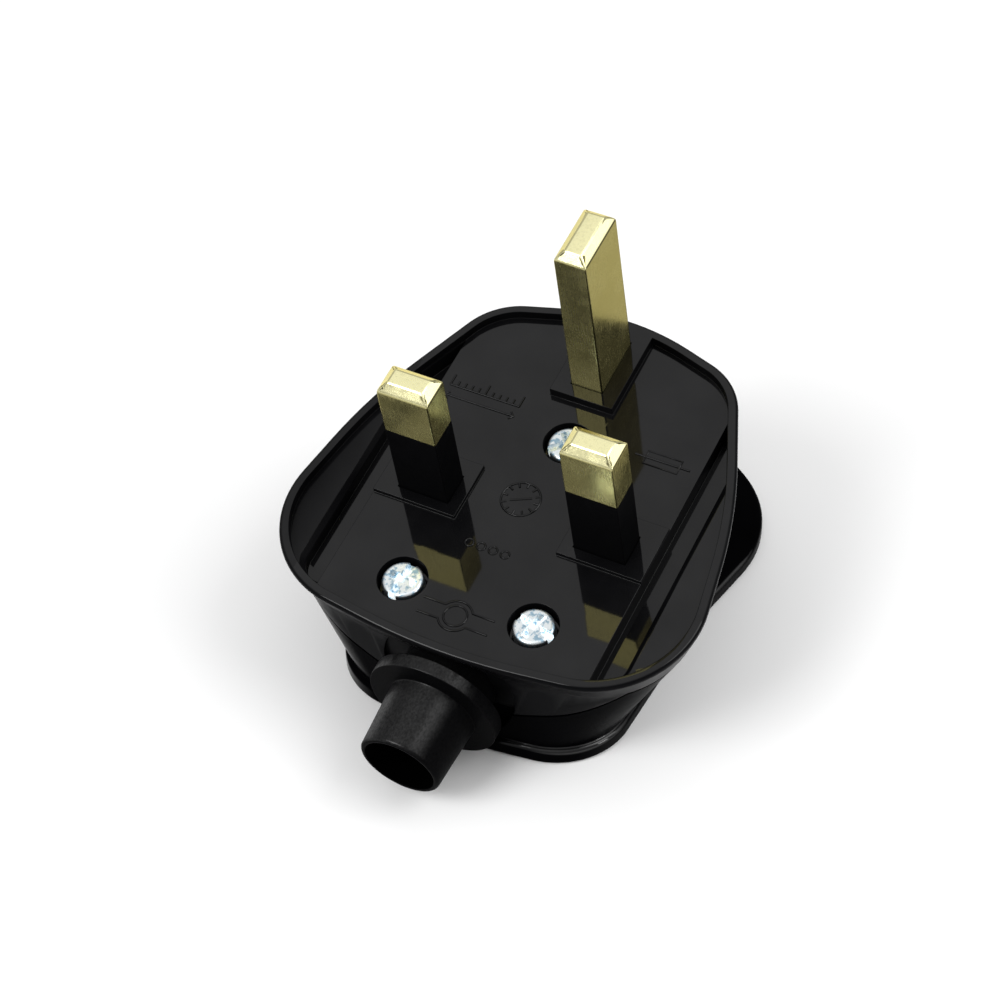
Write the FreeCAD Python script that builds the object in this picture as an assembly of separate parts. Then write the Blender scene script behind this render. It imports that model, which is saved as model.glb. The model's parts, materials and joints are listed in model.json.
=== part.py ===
"""Rewirable fused three-pin plug, lying on its sloped back with the pins up.

The plug is modelled in its own frame: X from the line pin to the neutral pin, Y towards the
earth pin, Z along the pins, with the origin midway between the line and neutral pins on the
face that meets the socket. At the end every piece is turned together so that the sloped back
lies level on z = 0. Sizes are in millimetres.
"""
import FreeCAD
import Part
import math
import os

V = FreeCAD.Vector

# Pins, to the British pattern for thirteen-ampere plugs
PIN_SPREAD = 22.23
EARTH_OFFSET = 22.23
LIVE_WIDTH = 6.35
LIVE_THICK = 3.975
LIVE_REACH = 18.2
EARTH_WIDTH = 3.975
EARTH_DEPTH = 7.95
EARTH_REACH = 23.2
TIP_LENGTH = 1.0
TIP_INSET = 1.05
SLEEVE_REACH = 10.1
SLEEVE_WALL = 0.6
SLEEVE_ROOT = 3.0
PIN_GAP = 0.05

# Face outline, as the corners of a shield before they are rounded
FACE_CORD_APEX = 21.43
FACE_CORD_BOW = 74.0
FACE_HIP_X = 28.0
FACE_HIP_Y = -17.6
FACE_HIP_R = 13.0
FACE_SIDE_X = 23.55
FACE_SIDE_Y = 8.3
FACE_SIDE_R = 63.5
FACE_SHOULDER_X = 16.05
FACE_SHOULDER_Y = 25.95
FACE_SHOULDER_R = 8.8
FACE_EARTH_APEX = 30.8
FACE_EARTH_BOW = 29.7

# Base plate and the relief of its face
EDGE_DEPTH = 4.0
EDGE_ROUND = 0.5
EDGE_DRAFT = 1.5
RIM_WIDTH = 1.4
FLOOR_DROP = 1.1
PAD_RISE = 0.5
PAD_INNER = 6.4
PAD_FRONT = 3.4
PAD_REAR = 4.3
EARTH_PAD_HALF = 4.0
EARTH_PAD_FRONT = 5.65
CHANNEL_INNER = 16.9
CHANNEL_OUTER = 19.95
CHANNEL_DROP = 2.1
CHANNEL_FRONT = -16.6
CHANNEL_CORNER = 2.9
CHANNEL_GAP = 0.1
CHANNEL_LEAD = 0.6
PARTING_WIDTH = 0.3
PARTING_DEPTH = 0.4
BOSS_DEPTH = 2.5
BOSS_WALL = 1.0
BOSS_GAP = 0.1

# Sloped back with its finger flange, measured along the slope from below the pin line
WEDGE = 13.0
BACK_DEPTH = 22.0
FLANGE_THICK = 2.2
FLANGE_ROUND = 0.6
FLANGE_CORD_APEX = 22.8
FLANGE_CORD_BOW = 46.6
FLANGE_HIP_X = 17.75
FLANGE_HIP_Y = -20.1
FLANGE_HIP_R = 9.25
FLANGE_SIDE_X = 18.0
FLANGE_SIDE_Y = 7.75
FLANGE_SIDE_R = 30.8
FLANGE_SHOULDER_X = 20.74
FLANGE_SHOULDER_Y = 26.2
FLANGE_SHOULDER_R = 15.5
FLANGE_EARTH_APEX = 41.0
FLANGE_EARTH_BOW = 20.0

# Waist between the base and the flange
WALL = 1.8
WAIST_MOUTH_Y = -10.0
WAIST_HIP_X = 17.0
WAIST_HIP_Y = -4.5
WAIST_HIP_R = 7.0
WAIST_SHOULDER_X = 16.0
WAIST_SHOULDER_Y = 25.0
WAIST_SHOULDER_R = 8.5
WAIST_EARTH_APEX = 29.6
WAIST_EARTH_BOW = 30.0

# Apron of the base over the cord entry
APRON_HALF = 20.5
APRON_DEPTH = 11.0

# Cord guard and the housing round it
GUARD_DROP = 7.9
GUARD_BORE_R = 4.2
GUARD_NECK_R = 4.9
GUARD_FLANGE_R = 5.9
GUARD_FLANGE_THICK = 1.1
GUARD_ROOT_R = 5.6
GUARD_COLLAR_R = 7.8
GUARD_COLLAR_THICK = 1.7
GUARD_COLLAR_STAND = 0.2
GUARD_TUBE_R = 5.25
GUARD_TIP_R = 4.85
GUARD_TUBE_LENGTH = 8.0
GUARD_LIP = 0.25
GUARD_GAP = 0.1
POCKET_R = 8.2
POCKET_FLOOR_Y = -18.6
POCKET_TOP = 1.7
GUARD_WALL = 1.6
GUARD_WALL_HALF = 9.0

# Screws, nut and washer
SCREW_HEAD_R = 2.42
SCREW_HEAD_HEIGHT = 2.05
SCREW_HEAD_ROUND = 0.5
SCREW_SHANK_R = 1.65
SCREW_GAP = 0.1
HEAD_HOLE_R = 2.9
HEAD_SEAT = 3.2
SLOT_WIDTH = 1.0
SLOT_DEPTH = 0.9
CROSS_LENGTH = 3.4
GRIP_SCREW_X = 8.2
GRIP_SCREW_Y = -12.8
GRIP_SCREW_LENGTH = 10.6
LINE_SIDE_GRIP_TURN = 85.0
NEUTRAL_SIDE_GRIP_TURN = -13.0
GRIP_BOSS_R = 3.6
GRIP_BOSS_DEPTH = 5.5
COVER_SCREW_X = 1.0
COVER_SCREW_Y = 11.0
COVER_SCREW_TURN = 40.0
COVER_SCREW_LENGTH = 14.5
COVER_TUBE_R = 3.6
COVER_TUBE_DEPTH = 3.0
WASHER_R = 3.2
WASHER_THICK = 0.8
NUT_SIDES = 6
NUT_FLATS = 5.5
NUT_THICK = 2.4
NUT_GAP = 0.1
NUT_BOSS_R = 4.2
NUT_BOSS_TOP = 14.0

# Cord grip bar
GRIP_BAR_HALF = 12.0
GRIP_BAR_WIDTH = 4.8
GRIP_BAR_THICK = 4.0
GRIP_BAR_ROUND = 1.6
GRIP_SADDLE_R = 6.0
GRIP_SADDLE_DEPTH = 1.5

# Terminals
BLOCK_DEPTH = 6.5
BLOCK_HALF_X = 3.2
BLOCK_HALF_Y = 3.9
WIRE_HOLE_R = 1.5
WIRE_HOLE_DROP = 2.6
TERMINAL_SCREW_R = 1.6
TERMINAL_HEAD_R = 2.1
TERMINAL_HEAD_HEIGHT = 1.8
TERMINAL_SHANK = 3.0
TERMINAL_SLOT = 0.7
STRAP_THICK = 3.0
PILLAR_X = -3.3
PILLAR_Y = 15.95
PILLAR_HALF_X = 2.2
PILLAR_HALF_Y = 2.0

# Fuse and its clips
FUSE_X = -9.6
FUSE_END_Y = 21.8
FUSE_LENGTH = 25.4
FUSE_CAP_R = 3.175
FUSE_CAP_LENGTH = 6.0
FUSE_CAP_WALL = 0.3
CLIP_GAP = 0.05
CLIP_WALL = 0.5
CLIP_WIDTH = 5.0
CLIP_MOUTH = 100.0
CLIP_FOOT_HALF = 2.6
TENON_R = 1.0

REACH = 60.0


def closed(half):
    """Give the whole outline for a right half that runs from the cord end to the earth end."""
    return half + [(-x, y, r) for x, y, r in reversed(half[1:-1])]


FACE = closed([
    (0.0, -FACE_CORD_APEX, FACE_CORD_BOW),
    (FACE_HIP_X, FACE_HIP_Y, FACE_HIP_R),
    (FACE_SIDE_X, FACE_SIDE_Y, FACE_SIDE_R),
    (FACE_SHOULDER_X, FACE_SHOULDER_Y, FACE_SHOULDER_R),
    (0.0, FACE_EARTH_APEX, FACE_EARTH_BOW),
])
FLANGE = closed([
    (0.0, -FLANGE_CORD_APEX, FLANGE_CORD_BOW),
    (FLANGE_HIP_X, FLANGE_HIP_Y, FLANGE_HIP_R),
    (FLANGE_SIDE_X, FLANGE_SIDE_Y, FLANGE_SIDE_R),
    (FLANGE_SHOULDER_X, FLANGE_SHOULDER_Y, FLANGE_SHOULDER_R),
    (0.0, FLANGE_EARTH_APEX, FLANGE_EARTH_BOW),
])
WAIST = closed([
    (0.0, -REACH, 0.0),
    (REACH, -REACH, 0.0),
    (REACH, WAIST_MOUTH_Y - WAIST_HIP_R, 0.0),
    (WAIST_HIP_X, WAIST_HIP_Y, WAIST_HIP_R),
    (WAIST_SHOULDER_X, WAIST_SHOULDER_Y, WAIST_SHOULDER_R),
    (0.0, WAIST_EARTH_APEX, WAIST_EARTH_BOW),
])

LINE_X = -PIN_SPREAD / 2
NEUTRAL_X = PIN_SPREAD / 2
SEAT_Z = -(EDGE_DEPTH + BOSS_DEPTH)
TERMINAL_Z = SEAT_Z - BLOCK_DEPTH
CLIP_SEAT_Z = SEAT_Z - STRAP_THICK
CLIP_R = FUSE_CAP_R + CLIP_GAP
FUSE_Z = CLIP_SEAT_Z - CLIP_WALL - CLIP_R
FUSE_START_Y = FUSE_END_Y - FUSE_LENGTH
CLIP_AT_PIN_Y = FUSE_START_Y + FUSE_CAP_LENGTH / 2
CLIP_AT_LOAD_Y = FUSE_END_Y - FUSE_CAP_LENGTH / 2
COLLAR_BACK_Y = -FACE_CORD_APEX - GUARD_COLLAR_STAND
GUARD_AXIS = V(0, -1, 0)
GRIP_BAR_TOP = -(EDGE_DEPTH + GRIP_BOSS_DEPTH)


def corner_frame(outline, i):
    """Give a corner with the unit directions into it and out of it."""
    before = V(*outline[i - 1][:2], 0)
    here = V(*outline[i][:2], 0)
    after = V(*outline[(i + 1) % len(outline)][:2], 0)
    return here, (here - before).normalize(), (after - here).normalize()


def inset(outline, distance):
    """Move every edge of an outline inwards, keeping its rounded corners parallel."""
    moved = []
    for i, (_, _, radius) in enumerate(outline):
        here, into, out = corner_frame(outline, i)
        left_in = V(-into.y, into.x, 0)
        left_out = V(-out.y, out.x, 0)
        shift = (left_in + left_out) * (distance / (1 + left_in.dot(left_out)))
        turn = into.cross(out).z
        rounded = max(radius - math.copysign(distance, turn), 0.0) if radius else 0.0
        moved.append((here.x + shift.x, here.y + shift.y, rounded))
    return moved


def outline_wire(outline, z=0.0):
    """Draw an outline as straight runs joined by tangent arcs, at height z."""
    starts, ends, arcs = [], [], []
    for i, (_, _, radius) in enumerate(outline):
        here, into, out = corner_frame(outline, i)
        half_turn = into.getAngle(out) / 2
        length = radius * math.tan(half_turn)
        start = here - into * length
        end = here + out * length
        starts.append(start)
        ends.append(end)
        if radius:
            sag = radius / math.cos(half_turn) - radius
            middle = here + (out - into).normalize() * sag
            arcs.append(Part.Arc(start, middle, end).toShape())
        else:
            arcs.append(None)
    edges = []
    for i, arc in enumerate(arcs):
        if arc:
            edges.append(arc)
        edges.append(Part.LineSegment(ends[i], starts[(i + 1) % len(arcs)]).toShape())
    wire = Part.Wire(edges)
    wire.translate(V(0, 0, z))
    return wire


def prism(outline, low, high):
    """Extrude an outline between two heights."""
    return Part.Face(outline_wire(outline, low)).extrude(V(0, 0, high - low))


def box(x0, x1, y0, y1, z0, z1):
    """Make a box from its limits."""
    return Part.makeBox(x1 - x0, y1 - y0, z1 - z0, V(x0, y0, z0))


def rod(radius, start, direction, length):
    """Make a cylinder from its start point."""
    return Part.makeCylinder(radius, length, start, direction)


def mirrored(shape):
    """Copy a shape from the neutral side to the line side."""
    return shape.mirror(V(0, 0, 0), V(1, 0, 0))


def on_slope(shape):
    """Turn a level shape so that its z = 0 lies on the sloped back."""
    shape.rotate(V(0, 0, 0), V(1, 0, 0), -WEDGE)
    shape.translate(V(0, 0, -BACK_DEPTH))
    return shape


def one_solid(shape):
    """Merge the faces of a boolean result and give its solid."""
    return shape.removeSplitter().Solids[0]


def shell_loft(thickness):
    """Loft from the base's lower edge to the flange, inset by a wall thickness."""
    top = outline_wire(inset(FACE, EDGE_DRAFT + thickness), -EDGE_DEPTH)
    bottom = on_slope(outline_wire(inset(FLANGE, FLANGE_ROUND + thickness), FLANGE_THICK))
    return Part.makeLoft([top, bottom], True, True)


def above_flange():
    """Make the space over the flange's top, up to the base's lower edge."""
    space = box(-REACH, REACH, -REACH, REACH, -REACH, -EDGE_DEPTH)
    return space.cut(on_slope(box(-2 * REACH, 2 * REACH, -2 * REACH, 2 * REACH, -REACH, FLANGE_THICK)))


def housing():
    """Make the housing below the base: outer body with finger hollows, and its cavity."""
    hollows = above_flange().cut(prism(WAIST, -REACH, REACH))
    outer = shell_loft(0.0).cut(hollows)
    cavity = shell_loft(WALL).common(prism(inset(WAIST, WALL), -REACH, REACH))
    return outer, cavity


def guard_wall(cavity, low, high):
    """Make the part between two heights of the cross wall that traps the neck of the cord guard."""
    back = POCKET_FLOOR_Y + GUARD_WALL
    return box(-GUARD_WALL_HALF, GUARD_WALL_HALF, POCKET_FLOOR_Y - WALL, back, low, high).common(cavity)


def guard_room():
    """Make the round pocket, neck hole and flange relief that take the cord guard."""
    start = V(0, POCKET_FLOOR_Y, -GUARD_DROP)
    pocket = rod(POCKET_R, start, GUARD_AXIS, REACH)
    pocket = pocket.common(box(-REACH, REACH, -2 * REACH, REACH, -REACH, -POCKET_TOP))
    neck = rod(GUARD_NECK_R + GUARD_GAP, start, -GUARD_AXIS, GUARD_WALL)
    flange_start = V(0, POCKET_FLOOR_Y + GUARD_WALL, -GUARD_DROP)
    flange = rod(GUARD_FLANGE_R + GUARD_GAP, flange_start, -GUARD_AXIS, GUARD_FLANGE_THICK + GUARD_GAP)
    return pocket.fuse([neck, flange])


def apron_space(margin=0.0):
    """Make the arched space of the base's apron, open towards the cord end and grown by a margin."""
    left = V(-APRON_HALF - margin, 0, -EDGE_DEPTH)
    right = V(APRON_HALF + margin, 0, -EDGE_DEPTH)
    arc = Part.Arc(left, V(0, 0, -APRON_DEPTH - margin), right).toShape()
    chord = Part.LineSegment(right, left).toShape()
    return Part.Face(Part.Wire([arc, chord])).extrude(V(0, -REACH, 0)).translated(V(0, WAIST_MOUTH_Y, 0))


def parting_groove():
    """Make the shallow groove that the cover's top edge leaves along the parting line."""
    skin = shell_loft(0.0).cut(shell_loft(PARTING_DEPTH))
    slab = box(-REACH, REACH, -REACH, REACH, -EDGE_DEPTH - PARTING_WIDTH, -EDGE_DEPTH)
    return skin.common(slab.fuse(apron_space(PARTING_WIDTH)))


def live_hole(x):
    """Make the hole for a line or neutral pin."""
    half_x = LIVE_WIDTH / 2 + PIN_GAP
    half_y = LIVE_THICK / 2 + PIN_GAP
    return box(x - half_x, x + half_x, -half_y, half_y, SEAT_Z, REACH)


def earth_hole():
    """Make the hole for the earth pin."""
    half_x = EARTH_WIDTH / 2 + PIN_GAP
    half_y = EARTH_DEPTH / 2 + PIN_GAP
    return box(-half_x, half_x, EARTH_OFFSET - half_y, EARTH_OFFSET + half_y, SEAT_Z, REACH)


def screw_places():
    """List where the face screws go: the two of the cord grip, then the cover screw."""
    return [(-GRIP_SCREW_X, GRIP_SCREW_Y), (GRIP_SCREW_X, GRIP_SCREW_Y), (COVER_SCREW_X, COVER_SCREW_Y)]


def face_relief():
    """Make what is cut from the face inside its rim: floor and side channels."""
    inside = inset(FACE, RIM_WIDTH)
    relief = prism(inside, -FLOOR_DROP, REACH)
    earth_front = EARTH_OFFSET - EARTH_PAD_FRONT
    relief = relief.cut(box(-EARTH_PAD_HALF, EARTH_PAD_HALF, earth_front, REACH, -REACH, 0))
    pad = box(PAD_INNER, CHANNEL_INNER, -PAD_FRONT, PAD_REAR, -REACH, PAD_RISE - FLOOR_DROP)
    relief = relief.cut([pad, mirrored(pad)])
    lane = prism(lane_outline(0.0), -FLOOR_DROP - CHANNEL_DROP, 0.0)
    lead_low = outline_wire(lane_outline(0.0), -FLOOR_DROP - CHANNEL_LEAD)
    lead = Part.makeLoft([lead_low, outline_wire(lane_outline(CHANNEL_LEAD), -FLOOR_DROP)], True, True)
    lane = lane.fuse(lead).common(prism(inset(FACE, RIM_WIDTH + CHANNEL_GAP), -REACH, REACH))
    return [relief, lane, mirrored(lane)]


def lane_outline(margin):
    """Give the outline of the neutral side's channel, grown outwards and forwards by a margin."""
    front = CHANNEL_FRONT - margin
    outer = CHANNEL_OUTER + margin
    return [
        (CHANNEL_INNER, front, 0.0),
        (outer, front, CHANNEL_CORNER + margin),
        (outer, REACH, 0.0),
        (CHANNEL_INNER, REACH, 0.0),
    ]


def earth_boss(gap=0.0):
    """Make the boss that carries the earth pin, open at the pin's rear and grown by a gap."""
    half_x = EARTH_WIDTH / 2 + BOSS_WALL + gap
    front = EARTH_OFFSET - EARTH_DEPTH / 2 - BOSS_WALL - gap
    rear = EARTH_OFFSET + EARTH_DEPTH / 2 + gap
    return box(-half_x, half_x, front, rear, SEAT_Z - gap, -EDGE_DEPTH)


def base_bosses():
    """Make the bosses under the base that carry the pins, the load terminal and the screws."""
    top = -EDGE_DEPTH
    half_x = LIVE_WIDTH / 2 + BOSS_WALL / 2
    half_y = LIVE_THICK / 2 + BOSS_WALL
    solids = [box(x - half_x, x + half_x, -half_y, half_y, SEAT_Z, top) for x in (LINE_X, NEUTRAL_X)]
    solids.append(earth_boss())
    solids.append(box(FUSE_X - CLIP_FOOT_HALF, PILLAR_X + PILLAR_HALF_X, PILLAR_Y - PILLAR_HALF_Y,
                      PILLAR_Y + PILLAR_HALF_Y, SEAT_Z, top))
    for x, y in screw_places():
        grip = y == GRIP_SCREW_Y
        radius = GRIP_BOSS_R if grip else COVER_TUBE_R
        depth = GRIP_BOSS_DEPTH if grip else COVER_TUBE_DEPTH
        solids.append(rod(radius, V(x, y, top), V(0, 0, -1), depth))
    return solids


def make_base(outer, cavity):
    """Make the pin plate: rim, floor, pads, channels, bosses and cord-end apron."""
    lower = outline_wire(inset(FACE, EDGE_DRAFT), -EDGE_DEPTH)
    plate = Part.makeLoft([lower, outline_wire(FACE)], True, True)
    top_edges = [e for e in plate.Edges if e.BoundBox.ZMin > -EDGE_ROUND]
    plate = plate.makeFillet(EDGE_ROUND, top_edges)
    plate = plate.cut(face_relief())
    apron = outer.cut(cavity).common(apron_space())
    plate = plate.fuse([apron, guard_wall(cavity, -GUARD_DROP, -EDGE_DEPTH)] + base_bosses())
    tools = [live_hole(LINE_X), live_hole(NEUTRAL_X), earth_hole(), guard_room()]
    for x, y in screw_places():
        tools.append(rod(HEAD_HOLE_R, V(x, y, -HEAD_SEAT), V(0, 0, 1), REACH))
        tools.append(rod(SCREW_SHANK_R + SCREW_GAP, V(x, y, -REACH), V(0, 0, 1), REACH))
    return one_solid(plate.cut(tools))


def make_cover(outer, cavity):
    """Make the back cover: sloped back with finger flange, waist, cord-end wall and nut boss."""
    flange = prism(FLANGE, 0.0, FLANGE_THICK)
    rims = [e for e in flange.Edges if e.BoundBox.ZLength < FLANGE_ROUND]
    flange = on_slope(flange.makeFillet(FLANGE_ROUND, rims))
    boss_top = V(COVER_SCREW_X, COVER_SCREW_Y, -NUT_BOSS_TOP)
    boss = rod(NUT_BOSS_R, boss_top, V(0, 0, -1), REACH).common(cavity)
    body = outer.cut(cavity).cut(apron_space())
    body = body.fuse([guard_wall(cavity, -REACH, -GUARD_DROP), boss, flange])
    nut_room = hexagon(NUT_FLATS + 2 * NUT_GAP, -NUT_BOSS_TOP - NUT_THICK, NUT_THICK + REACH)
    stem = rod(SCREW_SHANK_R + SCREW_GAP, V(COVER_SCREW_X, COVER_SCREW_Y, -HEAD_SEAT), V(0, 0, -1),
               COVER_SCREW_LENGTH + SCREW_GAP)
    rooms = [guard_room(), nut_room.common(boss), stem, earth_boss(BOSS_GAP)]
    return one_solid(body.cut(rooms + [parting_groove()]))


def hexagon(flats, low, height):
    """Make a six-sided prism on the cover screw's axis."""
    radius = flats / 2 / math.cos(math.pi / NUT_SIDES)
    turns = [2 * math.pi * i / NUT_SIDES for i in range(NUT_SIDES)]
    ring = [V(radius * math.cos(turn), radius * math.sin(turn), 0) for turn in turns]
    solid = Part.Face(Part.makePolygon(ring + ring[:1])).extrude(V(0, 0, height))
    return solid.translated(V(COVER_SCREW_X, COVER_SCREW_Y, low))


def make_guard():
    """Turn the soft cord guard: inner flange, neck, root, collar and tapered tube."""
    inner_y = POCKET_FLOOR_Y + GUARD_WALL
    collar_front = COLLAR_BACK_Y - GUARD_COLLAR_THICK
    tip_y = collar_front - GUARD_TUBE_LENGTH
    profile = [
        (GUARD_BORE_R, inner_y + GUARD_FLANGE_THICK),
        (GUARD_FLANGE_R, inner_y + GUARD_FLANGE_THICK),
        (GUARD_FLANGE_R, inner_y),
        (GUARD_NECK_R, inner_y),
        (GUARD_NECK_R, POCKET_FLOOR_Y),
        (GUARD_ROOT_R, POCKET_FLOOR_Y),
        (GUARD_ROOT_R, COLLAR_BACK_Y),
        (GUARD_COLLAR_R, COLLAR_BACK_Y),
        (GUARD_COLLAR_R, collar_front),
        (GUARD_TUBE_R, collar_front),
        (GUARD_TIP_R, tip_y + GUARD_LIP),
        (GUARD_TIP_R - GUARD_LIP, tip_y),
        (GUARD_BORE_R, tip_y),
    ]
    points = [V(r, y, 0) for r, y in profile]
    face = Part.Face(Part.makePolygon(points + points[:1]))
    return face.revolve(V(0, 0, 0), V(0, 1, 0), 360).translated(V(0, 0, -GUARD_DROP))


def rect_wire(width, depth, z):
    """Draw a rectangle about the Z axis."""
    x, y = width / 2, depth / 2
    return Part.makePolygon([V(-x, -y, z), V(x, -y, z), V(x, y, z), V(-x, y, z), V(-x, -y, z)])


def bar(width, depth, low, high):
    """Make a rectangular bar about the Z axis."""
    return Part.Face(rect_wire(width, depth, low)).extrude(V(0, 0, high - low))


def pin_blade(width, depth, low, reach):
    """Make a pin blade whose tip is bevelled on all four sides."""
    shoulder = reach - TIP_LENGTH
    tip = Part.makeLoft([rect_wire(width, depth, shoulder),
                         rect_wire(width - 2 * TIP_INSET, depth - 2 * TIP_INSET, reach)], True, True)
    return bar(width, depth, low, shoulder).fuse(tip)


def terminal_holes(x, y):
    """Make a pillar terminal's wire hole and screw hole."""
    wire_z = SEAT_Z - WIRE_HOLE_DROP
    wire = rod(WIRE_HOLE_R, V(x, y - REACH, wire_z), V(0, 1, 0), 2 * REACH)
    screw = rod(TERMINAL_SCREW_R + PIN_GAP, V(x, y, TERMINAL_Z), V(0, 0, 1), wire_z - TERMINAL_Z)
    return [wire, screw]


def pillar(x, y, half_x, half_y):
    """Make a drilled terminal block that seats under the base."""
    block = box(x - half_x, x + half_x, y - half_y, y + half_y, TERMINAL_Z, SEAT_Z)
    return block.cut(terminal_holes(x, y))


def make_earth_pin():
    """Make the earth pin with its terminal block."""
    blade = pin_blade(EARTH_WIDTH, EARTH_DEPTH, SEAT_Z, EARTH_REACH).translated(V(0, EARTH_OFFSET, 0))
    return one_solid(blade.fuse(pillar(0.0, EARTH_OFFSET, BLOCK_HALF_X, BLOCK_HALF_Y)))


def live_blade():
    """Make a line or neutral blade, thinned where its sleeve fits."""
    neck_wide = LIVE_WIDTH - 2 * SLEEVE_WALL
    neck_deep = LIVE_THICK - 2 * SLEEVE_WALL
    blade = pin_blade(LIVE_WIDTH, LIVE_THICK, SLEEVE_REACH, LIVE_REACH)
    neck = bar(neck_wide, neck_deep, -SLEEVE_ROOT, SLEEVE_REACH)
    root = bar(LIVE_WIDTH, LIVE_THICK, SEAT_Z, -SLEEVE_ROOT)
    return blade.fuse([neck, root])


def make_sleeve(x):
    """Make the insulating sleeve of a line or neutral pin."""
    outside = bar(LIVE_WIDTH, LIVE_THICK, -SLEEVE_ROOT, SLEEVE_REACH)
    inside = bar(LIVE_WIDTH - 2 * SLEEVE_WALL, LIVE_THICK - 2 * SLEEVE_WALL, -SLEEVE_ROOT, SLEEVE_REACH)
    return outside.cut(inside).translated(V(x, 0, 0))


def make_neutral_pin():
    """Make the neutral pin with its terminal block."""
    blade = live_blade().translated(V(NEUTRAL_X, 0, 0))
    return one_solid(blade.fuse(pillar(NEUTRAL_X, 0.0, BLOCK_HALF_X, BLOCK_HALF_Y)))


def tenon(y):
    """Make the riveted tenon that holds a fuse clip on its strap."""
    return rod(TENON_R, V(FUSE_X, y, CLIP_SEAT_Z), V(0, 0, -1), CLIP_WALL)


def make_line_pin():
    """Make the line pin with the strap that carries the fuse clip."""
    blade = live_blade().translated(V(LINE_X, 0, 0))
    front = min(-BLOCK_HALF_Y, CLIP_AT_PIN_Y - CLIP_WIDTH / 2)
    rear = max(BLOCK_HALF_Y, CLIP_AT_PIN_Y + CLIP_WIDTH / 2)
    strap = box(LINE_X - BLOCK_HALF_X, FUSE_X + CLIP_FOOT_HALF, front, rear, CLIP_SEAT_Z, SEAT_Z)
    return one_solid(blade.fuse([strap, tenon(CLIP_AT_PIN_Y)]))


def make_load_terminal():
    """Make the terminal at the far end of the fuse, with its clip strap."""
    strap = box(FUSE_X - CLIP_FOOT_HALF, FUSE_X + CLIP_FOOT_HALF, PILLAR_Y - PILLAR_HALF_Y,
                CLIP_AT_LOAD_Y + CLIP_WIDTH / 2, CLIP_SEAT_Z, SEAT_Z)
    bridge = box(FUSE_X, PILLAR_X, PILLAR_Y - PILLAR_HALF_Y, PILLAR_Y + PILLAR_HALF_Y,
                 CLIP_SEAT_Z, SEAT_Z)
    post = pillar(PILLAR_X, PILLAR_Y, PILLAR_HALF_X, PILLAR_HALF_Y)
    body = strap.fuse([bridge, tenon(CLIP_AT_LOAD_Y)]).cut(terminal_holes(PILLAR_X, PILLAR_Y))
    return one_solid(body.fuse(post))


def make_clip(y):
    """Make a sprung fuse clip, open towards the back."""
    start = V(FUSE_X, y - CLIP_WIDTH / 2, FUSE_Z)
    along = V(0, 1, 0)
    ring = rod(CLIP_R + CLIP_WALL, start, along, CLIP_WIDTH)
    foot = box(FUSE_X - CLIP_FOOT_HALF, FUSE_X + CLIP_FOOT_HALF, y - CLIP_WIDTH / 2, y + CLIP_WIDTH / 2,
               CLIP_SEAT_Z - CLIP_WALL, CLIP_SEAT_Z)
    top = box(-REACH, REACH, -REACH, REACH, CLIP_SEAT_Z, REACH)
    half_mouth = math.radians(CLIP_MOUTH / 2)
    side = REACH * math.tan(half_mouth)
    wedge = [start, start + V(side, 0, -REACH), start + V(-side, 0, -REACH), start]
    mouth = Part.Face(Part.makePolygon(wedge)).extrude(along * CLIP_WIDTH)
    clip = ring.fuse(foot).cut([top, mouth, rod(CLIP_R, start, along, CLIP_WIDTH)])
    return one_solid(clip.cut(tenon(y)))


def make_fuse_barrel():
    """Make the ceramic barrel of the fuse."""
    start = V(FUSE_X, FUSE_START_Y + FUSE_CAP_WALL, FUSE_Z)
    return rod(FUSE_CAP_R - FUSE_CAP_WALL, start, V(0, 1, 0), FUSE_LENGTH - 2 * FUSE_CAP_WALL)


def make_fuse_cap(end_y, inward):
    """Make one end cap of the fuse, from its closed end inwards."""
    along = V(0, inward, 0)
    cap = rod(FUSE_CAP_R, V(FUSE_X, end_y, FUSE_Z), along, FUSE_CAP_LENGTH)
    floor = V(FUSE_X, end_y + inward * FUSE_CAP_WALL, FUSE_Z)
    return cap.cut(rod(FUSE_CAP_R - FUSE_CAP_WALL, floor, along, FUSE_CAP_LENGTH))


def face_screw(x, y, length, turn):
    """Make a slotted and crossed face screw that seats in the base, turned as it was driven home."""
    head = rod(SCREW_HEAD_R, V(x, y, -HEAD_SEAT), V(0, 0, 1), SCREW_HEAD_HEIGHT)
    rim = [e for e in head.Edges if e.BoundBox.ZMin > -HEAD_SEAT + SCREW_HEAD_ROUND]
    head = head.makeFillet(SCREW_HEAD_ROUND, rim)
    shank = rod(SCREW_SHANK_R, V(x, y, -HEAD_SEAT), V(0, 0, -1), length)
    top = SCREW_HEAD_HEIGHT - HEAD_SEAT
    half = CROSS_LENGTH / 2
    side = SLOT_WIDTH / 2
    slot = box(x - HEAD_HOLE_R, x + HEAD_HOLE_R, y - side, y + side, top - SLOT_DEPTH, top)
    cross = box(x - side, x + side, y - half, y + half, top - SLOT_DEPTH, top)
    drive = slot.fuse(cross).rotated(V(x, y, 0), V(0, 0, 1), turn)
    return one_solid(head.fuse(shank).cut(drive))


def make_grip_screws():
    """Make the two screws of the cord grip."""
    sides = [(-GRIP_SCREW_X, LINE_SIDE_GRIP_TURN), (GRIP_SCREW_X, NEUTRAL_SIDE_GRIP_TURN)]
    return [face_screw(x, GRIP_SCREW_Y, GRIP_SCREW_LENGTH, turn) for x, turn in sides]


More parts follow.
